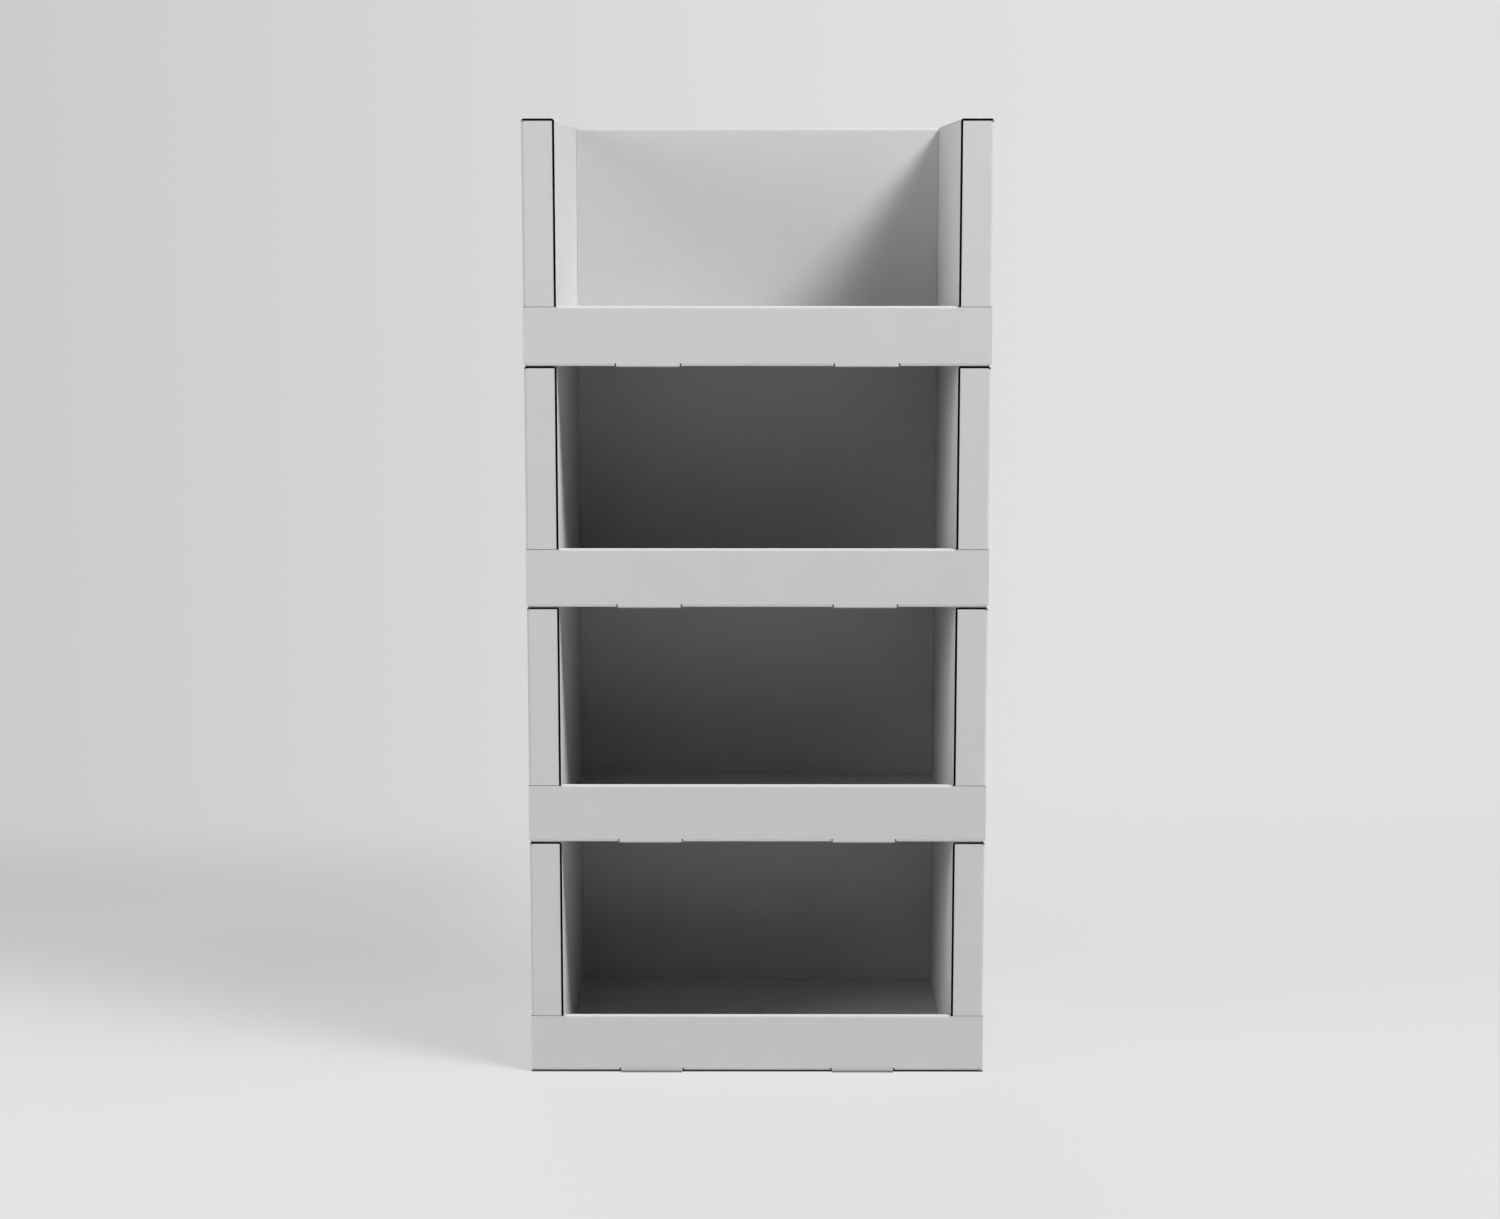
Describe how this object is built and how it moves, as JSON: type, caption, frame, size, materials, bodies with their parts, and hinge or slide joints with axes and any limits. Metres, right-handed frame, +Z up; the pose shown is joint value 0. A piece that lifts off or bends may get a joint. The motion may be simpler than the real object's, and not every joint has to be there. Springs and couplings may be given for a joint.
{
  "type": "cardboard display stand",
  "caption": "Free-standing white cardboard floor display of stacked open-front trays with hollow side columns, low front lips and high back walls.",
  "frame": {"origin": "on the floor under the middle of the stand", "axes": "+Z up, +Y from the open front to the back, +X to the right as seen from the front"},
  "size_m": [0.4, 0.285, 0.8335],
  "materials": {
    "white_lined_board": "matt white liner with fine paper fibre, dark brown raw edges"
  },
  "bodies": {
    "root": {"bottom_tray": "white_lined_board", "second_tray": "white_lined_board", "third_tray": "white_lined_board", "top_tray": "white_lined_board"}
  },
  "joints": []
}
